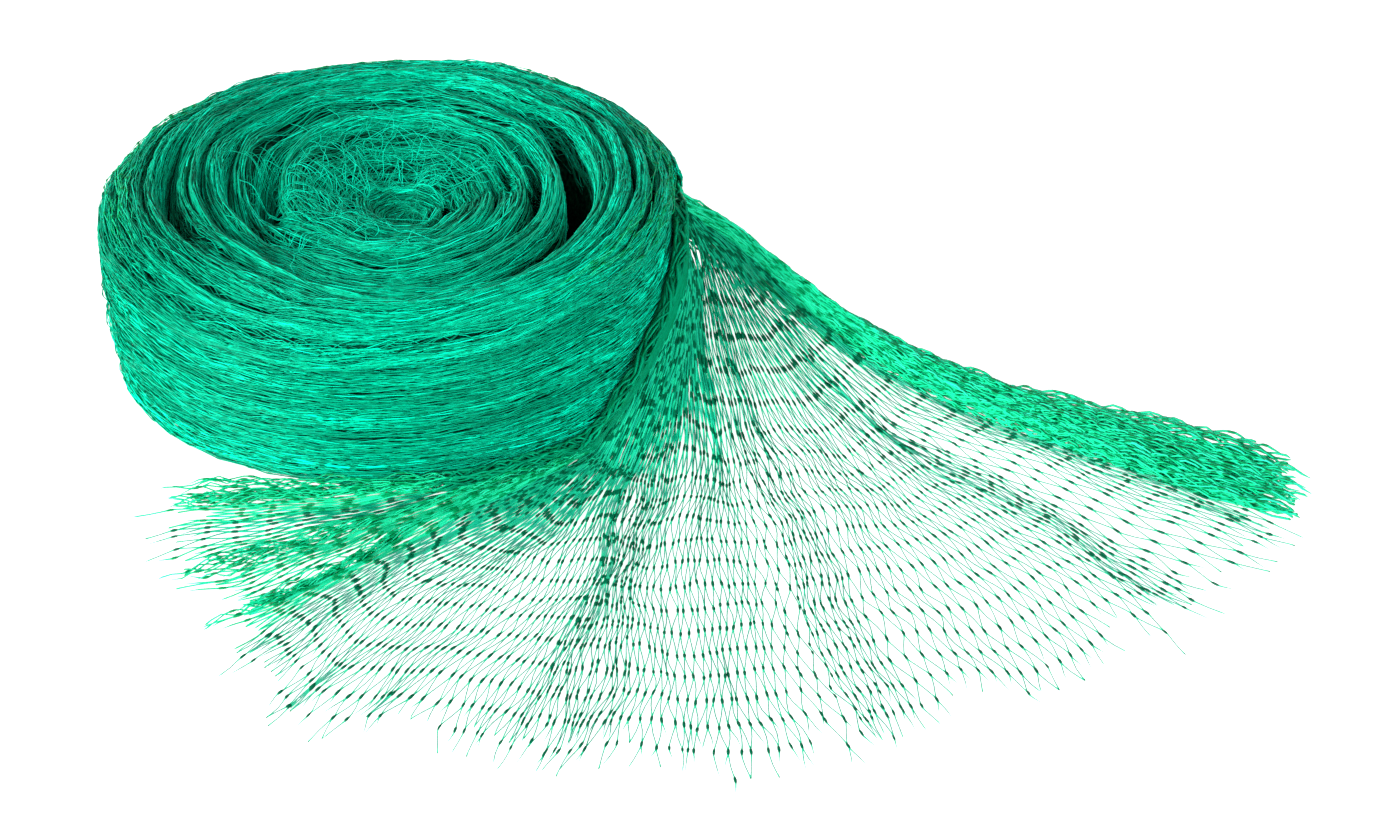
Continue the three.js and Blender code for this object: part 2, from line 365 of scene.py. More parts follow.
def strand_rows(first, last):
    """Row positions, bar numbers, zigzag shares and nearness of a strand between two rows."""
    count = int(last - first)
    rows = (first + np.arange(count)[:, None] + BAR_STEPS).ravel()
    step = np.repeat(np.arange(count), len(BAR_STEPS))
    return rows, step, np.tile(BAR_SHIFT, count), np.tile(BAR_ALONG, count)


def zigzag(column, first, step, share):
    """Where a strand stands between its two half-columns: 0 is its own, 1 the next one."""
    starts_own = ((column + first + step) % 2) == 0
    return np.where(starts_own, share, 1 - share)


def swell(along, bar_radius, joint_radius):
    """A strand's radius: a drop at each joint, then a neck that thins out to the bar."""
    drop = 1 - ease((along - 0.06) / 0.22)
    neck = 1 - ease(along / 0.6)
    return bar_radius + (joint_radius - bar_radius) * np.maximum(drop, 0.38 * neck)


# ---- The fan ----

# Half-columns of the net across the fan: (rim angle, height, half-columns since the entry
# before). Where the angle turns back, the net is folded over itself.
ACROSS = [
    (-7.0, 6.5, 0), (-12.0, 8.5, 12), (-19.6, 3.0, 36), (-11.5, 5.0, 36), (-19.8, 6.0, 36),
    (-11.5, 8.0, 32), (-19.8, 7.0, 36), (-14.0, 8.5, 24), (-20.4, 2.0, 22), (-23.5, 0.8, 10),
    (-27.0, 0.8, 7), (-34.0, 0.8, 7), (-36.5, 1.5, 5), (-38.8, 1.5, 6), (-40.5, 0.8, 4),
    (-48.0, 0.8, 9), (-56.0, 0.8, 10), (-66.0, 0.8, 12), (-73.0, 0.8, 9), (-75.3, 1.5, 7),
    (-78.0, 1.5, 8), (-84.0, 0.8, 7), (-90.0, 0.8, 9), (-96.0, 0.8, 13), (-102.0, 0.8, 12),
    (-105.0, 1.5, 10), (-108.0, 1.8, 12), (-111.0, 0.8, 10), (-118.0, 0.8, 16), (-126.0, 0.8, 19),
    (-134.0, 0.8, 20), (-141.0, 0.8, 20), (-143.4, 2.0, 16), (-145.0, 2.5, 12), (-149.0, 1.0, 9),
    (-151.0, 2.5, 12), (-152.6, 2.5, 10), (-156.0, 1.0, 8), (-160.0, 0.8, 7), (-168.0, 3.0, 22),
    (-163.0, 4.5, 11), (-169.4, 6.0, 13),
]
# The fan's pieces from right to left, with the rim angle where each one ends.
FAN_PIECES = [
    ("right_selvedge_bunch", -20.4), ("fan_panel_1", -34), ("pleat_1", -40.5),
    ("fan_panel_2", -56), ("fan_panel_3", -73), ("pleat_2", -78), ("fan_panel_4", -90),
    ("fan_panel_5", -102), ("pleat_3", -111), ("fan_panel_6", -126), ("fan_panel_7", -141),
    ("left_gather_1", -149), ("left_gather_2", -156), ("fan_panel_9", -160),
    ("left_selvedge_bunch", -169.4),
]
# The gathered pieces, with how many bars short of the rim their strands end.
BUNCHES = {"right_selvedge_bunch": 0.6, "left_gather_1": 0.9, "left_gather_2": 0.9,
           "left_selvedge_bunch": 1.3}
OPEN_SHORT = 0.2               # the same for the open net
# Plain solids that a piece replaces besides the one of its own name.
ALSO_REPLACED = {"left_gather_1": ["fan_panel_8"], "fan_panel_4": ["fan_throat"]}
BUNCH_EDGE = -20.5             # rim angle past the right bunch
TIGHT_EDGE = -20.0             # rim angle up to which its strands are thoroughly mixed
TRUNK_ANGLE = -99              # rim angle that the trunk under the throat points to
LEFT_EDGE = -141               # rim angle where the left gathers start
# The rim's distance from the fan's middle, as a share of the fan's radius, by rim angle.
RIM_AT = [-169, -150, -130, -118, -108, -92, -80, -68, -50, -38, -28, -9]
RIM_SHARE = [1.04, 1.06, 1.05, 1.02, 0.997, 0.995, 0.975, 0.91, 0.895, 0.905, 0.945, 0.975]
# Rim angles at which the strands' loose ends come together.
CLUMPS = [-96, -105.5, -114, -122.5, -130, -139, -144.5, -152]


def across_table():
    ends = np.cumsum([count for _, _, count in ACROSS])
    angles = [angle for angle, _, _ in ACROSS]
    heights = [height for _, height, _ in ACROSS]
    columns = np.arange(ends[-1] + 1)
    return columns, np.interp(columns, ends, angles), np.interp(columns, ends, heights)


COLUMNS, RIM_ANGLES, FOLD_HEIGHTS = across_table()
STRAYS = rng.uniform(-0.5, 0.5, len(COLUMNS))  # bars by which strands are out of step
FIRST_ROW = -3                 # strands start this many rows before the leaving point
row_drift = Wander(44, 200)
row_ripple = Wander(7, 40)
side_drift = Wander(50, 170)
side_ripple = Wander(16, 60)
side_tremble = Wander(5, 30)
lift_drift = Wander(25, 60)


def on_circle(radius, degrees):
    turned = np.radians(degrees)
    return radius * np.cos(turned), radius * np.sin(turned)


def strand_course(angle):
    """Where a strand that ends at a rim angle leaves the roll, and its rim point."""
    x, y = on_circle(FAN_RADIUS * np.interp(angle, RIM_AT, RIM_SHARE), angle)
    x, y = x + FAN_X, y + FAN_Y
    far = np.hypot(x, y)
    grow = np.maximum(1, (ROLL_RADIUS + 15) / far)
    x, y, far = x * grow, y * grow, far * grow
    touching = np.degrees(np.arctan2(y, x) + np.arccos(np.minimum(1, ROLL_RADIUS / far)))
    leaving = np.minimum(LEAVING_ANGLE, touching)
    start_x, start_y = on_circle(ROLL_RADIUS, leaving)
    return leaving, start_x, start_y, x, y


# How the net comes down from the roll, by rim angle: its height at the leaving point, the
# run before it starts to fall, the run where it meets the floor, and the fall's power.
DESCENT_ANGLES = [-169, -141, -126, -110, -90, -73, -56, -20, -8]
DESCENT = [
    [70, 69, 68, 66, 62, 58, 57, 58, 61],
    [24, 22, 18, 12, 4, 0, 0, 0, 0],
    [122, 122, 126, 132, 142, 150, 150, 150, 150],
    [1.0, 1.05, 1.1, 1.25, 1.6, 1.9, 2.0, 2.0, 2.0],
]
# Where the rows belly out towards the rim: (rim angle, half-breadth in degrees, reach).
SCALLOPS = [(-37, 5, 8), (-56, 11, 11), (-76, 5, 6), (-90, 10, 4), (-107, 5, 4), (-128, 9, 12),
            (-155, 8, 3)]


def fan_run(column, own_angle, fold, run, followed, stray):
    """A point's run from the leaving point, with the rows drifting and bellying out, and
    with the joints out of step where strands are crowded together."""
    belly = sum(reach * hump(own_angle, middle, width) for middle, width, reach in SCALLOPS)
    drift = 3.5 * row_drift(column, run) + 0.9 * row_ripple(column, run)
    run = run + ease((run - 10) / 110) * (belly + drift)
    free = np.maximum(run - followed, 0)
    crowded = np.interp(own_angle, [-169, -110, -92, -70, -30], [60, 60, 40, 12, 30])
    folded = np.where(fold > 1.0, 0.5 + 0.5 * (own_angle > TIGHT_EDGE), 0)
    return run + stray * BAR * np.maximum(1 - ease((free - crowded) / 45), folded)


def fan_sway(column, own_angle, run, free, part):
    """A point's drift across its strand's straight course, and the pull of a clump of ends."""
    sway = ease(free / 130) * (3.4 * side_drift(column, run) + 0.7 * side_ripple(column, run))
    sway = sway + ease(free / 150) * 0.45 * side_tremble(column, run)
    pull = sum((middle - own_angle) * hump(own_angle, middle, 2.4) for middle in CLUMPS)
    return sway + np.radians(pull) * FAN_RADIUS * 0.8 * ease((part - 0.84) / 0.16)


def fan_height(column, own_angle, angle, fold, run):
    """A point's height: the fall from the roll, the fold that it is in, and a slight waver."""
    top, holds, lands, power = (np.interp(angle, DESCENT_ANGLES, values) for values in DESCENT)
    fall = np.clip(1 - (run - holds) / (lands - holds), 0, 1) ** power
    settle = ease(run / 60)
    waver = 2.0 * np.sin(column * 1.9 + run / 31) * (1 - settle * 0.8)
    top = np.minimum(top, 58 + 11 * settle)
    hangs = (fold / 8.5 - 1) * 17 * (own_angle > BUNCH_EDGE) * (1 - ease(run / 130))
    z = top * fall + hangs + fold * (0.5 + 0.5 * settle) + waver * (fall > 0)
    fold_wave = np.where(fold > 2, 1.2, 0) * np.sin(column * 4.7 + run / 17)
    z = z + (0.9 + 0.8 * lift_drift(column, run)) * settle + fold_wave
    return np.maximum(z, REST_HEIGHT)


def fan_place(column, row, stray):
    """Place of a point of the net in the fan: half-column across, rows from the leaving point."""
    own_angle = np.interp(column, COLUMNS, RIM_ANGLES)
    fold = np.interp(column, COLUMNS, FOLD_HEIGHTS)
    in_trunk = 0.85 * hump(own_angle, -97, 17) * (1 - ease((row * BAR - 15) / 105))
    angle = own_angle + (TRUNK_ANGLE - own_angle) * in_trunk
    leaving, start_x, start_y, rim_x, rim_y = strand_course(angle)
    followed = np.radians(LEAVING_ANGLE - leaving) * ROLL_RADIUS
    run = fan_run(column, own_angle, fold, row * BAR, followed, stray)
    bend = LEAVING_ANGLE - np.degrees(np.minimum(run, followed) / ROLL_RADIUS)
    free = np.maximum(run - followed, 0)
    depth = np.clip(2.2 + 3.0 * np.sin(column * 2.4 + run / 23), 0, 6)
    depth = depth + 6 * (1 - ease((run - 5) / 55))
    x, y = on_circle(ROLL_RADIUS + 1.2 - depth * (1 - ease(free / 30)), bend)
    straight = np.hypot(rim_x - start_x, rim_y - start_y)
    part = free / straight
    sway = fan_sway(column, own_angle, run, free, part)
    reach_x, reach_y = rim_x - start_x, rim_y - start_y
    x = x + part * reach_x - sway * reach_y / straight
    y = y + part * reach_y + sway * reach_x / straight
    z = fan_height(column, own_angle, angle, fold, run)
    return np.stack(np.broadcast_arrays(x, y, z), -1)


def own_course(column):
    """The course of one strand, which runs between its half-column and the next one."""
    return strand_course(float(np.interp(column + 0.5, COLUMNS, RIM_ANGLES)))


def follow_length(column):
    """How far a strand follows the roll's flank before it leaves it."""
    return math.radians(LEAVING_ANGLE - own_course(column)[0]) * ROLL_RADIUS


def last_row(column):
    """The row, with its fraction, in which a strand reaches the fan's rim."""
    _, start_x, start_y, rim_x, rim_y = own_course(column)
    return (follow_length(column) + np.hypot(rim_x - start_x, rim_y - start_y)) / BAR


TAIL_LEAST = 50                # a shorter way along the flank belongs to the fan's piece
TAIL_REACH = 190
TAIL_THICKNESS = 1.6           # of a strand against one of the open net
GATHERED_THICKNESS = 1.35
ROPE_THICKNESS = 2.3           # in the right bunch, which is packed like a rope
OPEN_TONE = 0.55
GATHERED_TONE = 0.5
# painted shade: the tail's strands along the roll's flank, except those going to the left gathers,
# get this darker tone
SHADED_TAIL_TONE = 0.25


def fan_strand(column, first, last, thickness, tone, opens, loose_end=False):
    """One strand of the fan or the tail. A strand that opens is thicker and darker where it
    lies close to its neighbours, before they spread."""
    rows, step, share, along = strand_rows(first, last)
    if loose_end:
        keep = len(rows) - int(rng.integers(0, 4))
        rows, step, share, along = rows[:keep], step[:keep], share[:keep], along[:keep]
    across = column + zigzag(column, first, step, share)
    points = fan_place(across, rows, STRAYS[column])
    shade = np.clip(tone + rng.normal(0, 0.2), 0.03, 0.97)
    if opens:
        open_part = ease((rows * BAR - follow_length(column) - 40) / 100)
        gathered = 1.2 + 0.7 * ease((-80 - RIM_ANGLES[column]) / 12)
        thickness = thickness * (gathered + (1 - gathered) * open_part)
        shade = shade * 0.45 + 0.5 * open_part
    radii = swell(along, BAR_RADIUS * thickness, JOINT_RADIUS * rng.uniform(0.85, 1.15))
    return points, radii, along, shade


def tail_rows(column):
    """How many rows of a strand lie along the roll's flank, as the tail."""
    followed = follow_length(column)
    return int(min(followed, TAIL_REACH) / BAR) if followed > TAIL_LEAST else FIRST_ROW


def spread_fan(spread, bunched, unwinding):
    """The strands of the fan, piece by piece as the frame divides it, and of the tail."""
    ends = np.cumsum([count for _, _, count in ACROSS])
    stops = {angle: int(end) for (angle, _, _), end in zip(ACROSS, ends)}
    tail = []
    start = 0
    for name, end_angle in FAN_PIECES:
        is_rope = name == "right_selvedge_bunch"
        opens = name not in BUNCHES
        finish, thickness, tone = ((spread, 1.0, OPEN_TONE) if opens
                                   else (bunched, GATHERED_THICKNESS, GATHERED_TONE))
        thickness = ROPE_THICKNESS if is_rope else thickness
        shortfall = BUNCHES.get(name, OPEN_SHORT)
        strands = []
        for column in range(start, stops[end_angle]):
            last = int(round(last_row(column) + rng.normal(-shortfall, 0.4)))
            split = tail_rows(column)
            strands.append(fan_strand(column, split, last, thickness, tone, opens, True))
            if split > FIRST_ROW:
                at_left = RIM_ANGLES[column] <= LEFT_EDGE
                first = FIRST_ROW - int(rng.integers(0, 3))
                tail.append(fan_strand(column, first, split, TAIL_THICKNESS,
                                       OPEN_TONE if at_left else SHADED_TAIL_TONE, at_left))
        half = len(strands) // 2 if is_rope else len(strands)
        replaced = [name] + ALSO_REPLACED.get(name, [])
        place_strands(name + "_net", strands[:half], finish, replaced)
        if is_rope:
            place_strands(name + "_net_2", strands[half:], finish)
        start = stops[end_angle]
    place_strands("unwinding_tail_net", tail, unwinding, replaced=["unwinding_tail"])


# ---- The roll ----

def top_height(radius):
    rise = np.sin((math.pi / 2) * np.minimum(1, radius / (0.7 * ROLL_RADIUS)))
    edge = np.maximum(0, (radius / ROLL_RADIUS - 0.72) / 0.28)
    return SWIRL_HEIGHT + (ROLL_HEIGHT - SWIRL_HEIGHT) * rise - EDGE_DROP * edge ** 2


def foot_height(radius):
    edge = np.maximum(0, (radius / ROLL_RADIUS - 0.86) / 0.14)
    return EDGE_LIFT * np.minimum(1, edge) ** 2


def roll_place(radius, degrees, z):
    """Place in the roll: the laps are pushed outward at the front right, and the swirl's
    middle sits a little off the roll's axis."""
    gap = GAP_RADIUS + 24 * hump_round(degrees, -58, 48)
    inner = radius * gap / GAP_RADIUS
    outer = gap + (radius - GAP_RADIUS) * (ROLL_RADIUS - gap) / (ROLL_RADIUS - GAP_RADIUS)
    pushed = np.where(radius < GAP_RADIUS, inner, outer)
    off = np.clip(1 - radius / GAP_RADIUS, 0, 1) ** 1.5
    x, y = on_circle(pushed, degrees)
    return np.stack(np.broadcast_arrays(x + off * CORE_OFFSET[0], y + off * CORE_OFFSET[1], z), -1)


def thin_radii(turns):
    """Inner and outer radius of the thin winding after a number of turns."""
    return (THIN_START + THIN_PITCH * np.maximum(0, turns - 1), THIN_START + THIN_PITCH * turns)


def wide_radii(turns):
    inner = CORE_RADIUS + WIDE_PITCH * np.clip(turns - 1, 0, WIDE_LAPS)
    outer = CORE_RADIUS + WIDE_PITCH * np.clip(turns, 0, WIDE_LAPS)
    return inner, outer


rng.uniform(size=21)           # passed over, so that the later draws keep their places
surface_swell = Wander(55, 40)
# Hollows in the roll's top: (degrees, radius, half-length in degrees, half-breadth, depth).
HOLLOWS = [
    (-167, 90, 22, 4.5, 16), (-172, 50, 26, 5, 17), (-146, 60, 20, 3.5, 12), (10, 46, 16, 3, 10),
    (4, 57, 14, 2.5, 9), (150, 101, 30, 2.5, 8), (95, 96, 34, 2.5, 8),
]


def surface_height(radius, degrees):
    """The roll's top surface without the ridges of single laps."""
    z = top_height(radius) + 1.6 * surface_swell(np.radians(degrees) * 60, radius)
    z = z - FRONT_SLUMP * hump_round(degrees, -95, 60) * ease((radius - 18) / 55)
    for middle, ring, length, width, depth in HOLLOWS:
        z = z - depth * hump_round(degrees, middle, length) * hump(radius, ring, width)
    return z


def arch(share, half, depth):
    """Cross-section of a lap's top: share from -1 to 1 over its arch, to (across, drop)."""
    turned = share * math.pi / 2
    across = np.sign(turned) * np.abs(np.sin(turned)) ** 0.75 * half
    drop = (1 - np.abs(np.cos(turned)) ** 0.7) * depth
    return across, drop


def combed(position, along, lock, drift, slope):
    """Gathers strands into locks: the position across, drawn towards its lock's middle,
    and how far the lock stands out there."""
    phase = 2 * math.pi * position / lock + drift(along, position) * 3.2 + along * slope
    return position - 0.86 * lock / (2 * math.pi) * np.sin(phase), np.cos(phase)


def lap_parting(degrees, radius):
    """How far neighbouring laps stand apart: widest on the fan's side, some at the far side,
    hardly at the front and back, where they lie pressed together, and all round the core."""
    side = hump_round(degrees, 2, 52) + 0.75 * hump_round(degrees, 184, 34)
    return np.maximum(0.10 + 0.90 * np.minimum(1, side), 0.9 * hump(radius, 0, 17))


gape_drift = Wander(0.9, 1)
lap_patches = Wander(120, 12)


def lap_gape(turns):
    """Share of full opening of the gap beside a lap, drifting along the winding."""
    return np.clip(0.55 + 0.6 * gape_drift(turns), 0, 1)


def lean_laps(points, radius, shift):
    """Moves the laps along X, and by about half as much towards the front, from nothing at
    the axis to the whole shift at the last wide lap."""
    part = np.clip(radius / WIDE_END, 0, 1)
    points[..., 0] += shift * part
    points[..., 1] -= 0.55 * shift * part


def stray_path(run, reach, length):
    """A single strand's own drift away from its lock, as two slow waves."""
    first, second = rng.uniform(0.7, 1.5, 2) * length
    start, then = rng.uniform(0, 2 * math.pi, 2)
    return reach * (0.7 * np.sin(2 * math.pi * run / first + start)
                    + 0.4 * np.sin(5 * math.pi * run / second + then))


# The points of one bar of a wound strand: how far along it each stands, its nearness to the
# bar's middle, and the side that it zigzags to.
WOUND_STEPS = np.array([0.0, 0.12, 0.5, 0.88])
WOUND_NEAR = np.array([0.0, 0.27, 1.0, 0.27])
WOUND_LEAN = np.array([-1.0, -0.9, 0.0, 0.9])
WOUND_RADII = (0.17, 0.28)     # least and most radius of a wound strand's bars


def wound_rows(bars):
    """Positions in bars along a wound strand, nearness to a bar's middle, and zigzag side."""
    position = (np.arange(bars)[:, None] + WOUND_STEPS).ravel()
    even = np.repeat(np.arange(bars) % 2 == 0, len(WOUND_STEPS))
    lean = np.tile(WOUND_LEAN, bars)
    return position + rng.uniform(0, 1), np.tile(WOUND_NEAR, bars), np.where(even, lean, -lean)


def wind_strand(radii_at, share, first_turn, last_turn, depth, shift, combs, offset, thickness,
                tone):
    """One strand along a winding: share is its place over the lap's arch, and it zigzags
    from joint to joint as it goes."""
    mean = sum(radii_at((first_turn + last_turn) / 2)) / 2
    length = 2 * math.pi * mean * (last_turn - first_turn)
    bars = max(3, int(length / BAR))
    position, along, lean = wound_rows(bars)
    turns = np.clip(first_turn + (last_turn - first_turn) * position / bars, first_turn, last_turn)
    inner, outer = radii_at(turns)
    half = np.maximum(0.4, (outer - inner) / 2)
    degrees = LEAVING_ANGLE - 360 * turns
    parting = lap_parting(degrees, (inner + outer) / 2)
    run = length * position / bars
    reach = half * 1.9
    side = share * reach + stray_path(run, 1.3, 90) * np.minimum(1, half / 4)
    stand = np.zeros_like(side)
    for lock, drift, slope, weight in combs:
        side, crest = combed(side, run, lock, drift, slope)
        stand = stand + weight * crest
    side = side + lean * 0.28
    inside = np.clip(side / reach, -1, 1)
    across, drop = arch(inside, half, depth)
    pressed = 1 + 0.35 * (1 - parting) - 0.42 * parting * lap_gape(turns)
    radius = (inner + outer) / 2 + across * pressed
    weave = stray_path(run, 0.55, 60)
    over_edge = np.maximum(0, radius - (ROLL_RADIUS - 3.5))
    radius = radius - over_edge
    z = surface_height(radius, degrees) - drop * parting + stand * 0.85
    z = z + offset + weave - 1.6 * over_edge
    points = roll_place(radius + stand * 0.35 * inside, degrees, z)
    lean_laps(points, radius, shift)
    radii = swell(along, thickness, thickness * 1.7)
    # Painted shade: the laps' tones are darkened at the front and, more strongly, at the left, and
    # are raised where a lock stands out and lowered deep in it. The random patches are the net's own
    # tone. The tones are also made darker towards the roll's middle.
    front_shade = hump_round(degrees, -90, 50)
    at_left = hump_round(degrees, -158, 34) * ease((radius - 60) / 30)
    patches_and_shade = 0.12 * lap_patches(run, radius) + 0.13 * stand
    patches_and_shade = patches_and_shade - 0.12 * front_shade - 0.10 * hump(radius, 0, 40) - 0.40 * at_left
    return points, radii, along, np.clip(tone + patches_and_shade, LEAST_TONE, MOST_TONE)


def lap_strands(radii_at, first_turn, last_turn, final_turn, count, depth, shift, lock,
                layers=2):
    """The strands of one lap, combed into locks that differ from layer to layer."""
    strands = []
    combs = []
    for layer in range(layers):
        drift = Wander(130, 14)
        fine = Wander(50, 7)
        heading = rng.normal(0, 0.018)
        combs.append([(lock * (1 + 0.35 * layer), drift, heading, 1.0),
                      (lock * 0.45, fine, -heading, 0.45)])
    for index in range(count):
        layer = index % layers
        share = rng.uniform(-0.97, 0.97)
        offset = rng.uniform(-1.2, 0.4) - 0.4 * layer
        # painted shade: strands lying lower in the lap, by offset and layer, get a darker tone; the
        # rest of the tone differs at random
        tone = 0.48 + 0.26 * rng.normal() + 0.12 * offset
        begin = max(FIRST_TURN, first_turn - rng.uniform(0, 0.06))
        end = min(final_turn, last_turn + rng.uniform(0, 0.06))
        strands.append(wind_strand(radii_at, share, begin, end, depth, shift,
                                   combs[layer], offset, rng.uniform(*WOUND_RADII), tone))
    return strands


wall_bulge = Wander(90, 60)
wall_patches = Wander(110, 40)
# Creases in the outer wall: (degrees, half-length, share of its height, half-breadth, depth).
WALL_CREASES = [(185, 40, 0.50, 0.07, 3.0), (250, 30, 0.64, 0.05, 1.4),
                (300, 36, 0.40, 0.05, 1.4), (215, 30, 0.27, 0.04, 1.2)]
WALL_BREADTH = 84.0            # of the band that is wound round the wall
WALL_TOP = 1.08                # the wall strands run on over the edge of the top


def wall_radius(share, degrees, turns):
    """The outer wall's radius at a share of its height: it draws in at the foot and the top,
    and soft creases part its thick locks."""
    bulge = 0.9 * wall_bulge(np.radians(degrees) * ROLL_RADIUS, share * 80)
    radius = thin_radii(turns)[1] + bulge - 5.0 * (1 - share) ** 2.6
    radius = radius - 4.0 * np.clip((share - 0.68) / 0.32, 0, 1) ** 2.2
    for middle, length, level, width, depth in WALL_CREASES:
        crease = hump_round(degrees, middle, length) * hump(share, level, width)
        radius = radius - depth * crease
    return radius


def wall_strands(count):
    """Strands round the roll's outer wall, over its last turn."""
    strands = []
    first_turn, last_turn = THIN_LAPS - 1.0, float(THIN_LAPS)
    length = 2 * math.pi * (ROLL_RADIUS - 5)
    bars = int(length / BAR)
    combs = []
    for layer in range(4):
        combs.append((5.0 + 2.0 * layer, Wander(150, 18), rng.normal(0, 0.016), Wander(60, 8)))
    for index in range(count):
        lock, drift, heading, fine = combs[index % 4]
        position, along, lean = wound_rows(bars)
        end = last_turn + rng.uniform(-0.02, 0.03)
        turns = np.clip(first_turn + position / bars, first_turn, end)
        degrees = LEAVING_ANGLE - 360 * turns
        run = length * position / bars
        level = rng.uniform(0.0, WALL_TOP) * WALL_BREADTH + stray_path(run, 1.8, 110)
        level, crest = combed(level, run, lock, drift, heading)
        level, fine_crest = combed(level, run, lock * 0.42, fine, -heading)
        share = np.clip((level + lean * 0.3) / WALL_BREADTH, 0.0, WALL_TOP)
        edge = thin_radii(turns)[1] - THIN_PITCH / 2
        low = foot_height(edge) * 0.4 + 0.4
        high = surface_height(edge, degrees) - 3.0
        z = low + (high - low) * share
        drawn_in = 8.0 * ease((turns - last_turn + 0.09) / 0.08)
        out = rng.uniform(-2.2, 0.5) - drawn_in + 0.8 * crest + 0.35 * fine_crest
        out = out + stray_path(run, 0.6, 70)
        points = roll_place(wall_radius(share, degrees, turns) + out, degrees, z)
        thickness = rng.uniform(*WOUND_RADII)
        radii = swell(along, thickness, thickness * 1.9)
        # Painted shade: the wall is darkened at the front and, more strongly, higher up at the left,
        # and is lighter where a lock stands out; the random patches are the net's own tone.
        front_shade = hump_round(degrees, -83, 28)
        at_left = hump_round(degrees, -176, 24) * ease((share - 0.25) / 0.35)
        tone = 0.5 + 0.22 * rng.normal() + 0.16 * wall_patches(run, level) + 0.10 * crest
        tone = tone - 0.34 * front_shade - 0.55 * at_left
        strands.append((points, radii, along, np.clip(tone, LEAST_TONE, MOST_TONE)))
    return strands


def lap_body(name, radii_at, first_turn, last_turn, depth, shift, packed, outermost=False):
    """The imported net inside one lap: a closed band under the surface strands. Its foot reaches
    inward under the next lap, so that no floor shows between them, and the outermost one
    stays inside the wall's strands."""
    steps = int(110 * (last_turn - first_turn)) + 2
    turns = np.linspace(first_turn, last_turn, steps)
    inner, outer = radii_at(turns)
    half = np.maximum(0.3, (outer - inner) / 2 - 0.4)
    middle = (inner + outer) / 2
    degrees = LEAVING_ANGLE - 360 * turns
    parting = lap_parting(degrees, middle)
    inset = 4.6 + 8.5 * ease((turns - THIN_LAPS + 0.12) / 0.09)
    outline = []
    for share in np.linspace(-1, 1, 9):
        across, drop = arch(share, half, depth)
        radius = middle + across * (1 - 0.45 * parting * lap_gape(turns))
        z = surface_height(radius, degrees) - drop * parting - 3.2
        if outermost:
            radius = np.minimum(radius, wall_radius(0.8, degrees, turns) - inset)
        outline.append((radius, z))
    foot = foot_height(middle) + 1.0
    is_thin = middle > THIN_START
    tucked = 7.0 * ease((turns - THIN_LAPS + 1.3) / 0.3) * is_thin
    wall = wall_radius(0.5, degrees, turns) - inset - 0.4 if outermost else middle + half - tucked
    low_wall = wall - 1.6 if outermost else wall
    outline.append((wall, (outline[-1][1] + foot) / 2))
    outline.append((low_wall, foot))
    spread_foot = 12.0 * (1 - ease((middle - THIN_START - 4) / 6)) * is_thin
    outline.append((middle - half - 2.0 - spread_foot, foot))
    sections = np.stack([roll_place(radius, degrees, z) for radius, z in outline], 1)
    lean_laps(sections, middle[:, None], shift)
    size = len(outline)
    k = np.arange(size)
    row = np.arange(steps - 1)[:, None] * size
    a, b = row + k, row + (k + 1) % size
    quads = np.stack([a, b, b + size, a + size], -1).reshape(-1)
    caps = np.concatenate([k[::-1], (steps - 1) * size + k])
    corners = np.concatenate([quads, caps])
    count = (steps - 1) * size
    starts = np.concatenate([4 * np.arange(count), [4 * count, 4 * count + size]])
    totals = np.concatenate([np.full(count, 4), [size, size]])
    return mesh_from(name, to_frame(sections).reshape(-1, 3), corners, starts, totals, packed)


def core_body(packed):
    """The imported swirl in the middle: a dished ring, closed but for a hair-fine eye."""
    outline = [(0.4, 2), (CORE_RADIUS + 3, 2), (CORE_RADIUS - 1, SWIRL_HEIGHT - 3),
               (15, SWIRL_HEIGHT - 6), (9, SWIRL_HEIGHT - 9), (5, SWIRL_HEIGHT - 13),
               (0.4, SWIRL_HEIGHT - 45)]
    steps = 64
    degrees = np.arange(steps) * 360 / steps
    flat = np.zeros(steps)
    sections = np.stack([roll_place(flat + radius, degrees, flat + z) for radius, z in outline], 1)
    sections[..., 0] += SWIRL_SHIFT
    size = len(outline)
    k = np.arange(size)
    row = np.arange(steps)[:, None]
    following = (row + 1) % steps
    a, b = row * size + k, row * size + (k + 1) % size
    c, d = following * size + (k + 1) % size, following * size + k
    quads = np.stack([d, c, b, a], -1).reshape(-1)
    count = steps * size
    return mesh_from("packed_core", to_frame(sections).reshape(-1, 3), quads,
                     4 * np.arange(count), np.full(count, 4), packed)


def core_radii(turns):
    inner = SWIRL_START + SWIRL_PITCH * np.maximum(0, turns - 1)
    return inner, SWIRL_START + SWIRL_PITCH * turns


def tangle_hair():
    """A loose, curly bit of strand on the inner laps, behind and beside the swirl."""
    angle = rng.normal(*((210, 38) if rng.random() < 0.65 else (110, 40)))
    radius = rng.uniform(10, 46)
    heading = math.radians(angle) - math.pi / 2 + rng.normal(0, 0.6)
    count = int(rng.integers(12, 30))
    steady = rng.normal(0, 0.10)
    wave = np.arange(count) * rng.uniform(0.3, 0.8) + rng.uniform(0, 6)
    heading = heading + np.cumsum(steady + 0.18 * np.sin(wave))
    x0, y0 = on_circle(radius, angle)
    x = x0 + np.cumsum(1.5 * np.cos(heading))
    y = y0 + np.cumsum(1.5 * np.sin(heading))
    from_middle = np.maximum(16, np.hypot(x, y))
    degrees = np.degrees(np.arctan2(y, x))
    rise = 0.6 + 1.3 * np.abs(np.sin(np.linspace(0, math.pi, count) * rng.uniform(0.8, 2.2)))
    z = surface_height(from_middle, degrees) + rise
    points = roll_place(from_middle, degrees, z)
    along = np.where(np.arange(count) % 2 == 0, 0.6, 1.0)
    return points, np.full(count, rng.uniform(0.12, 0.19)), along, float(rng.uniform(0.25, 0.85))


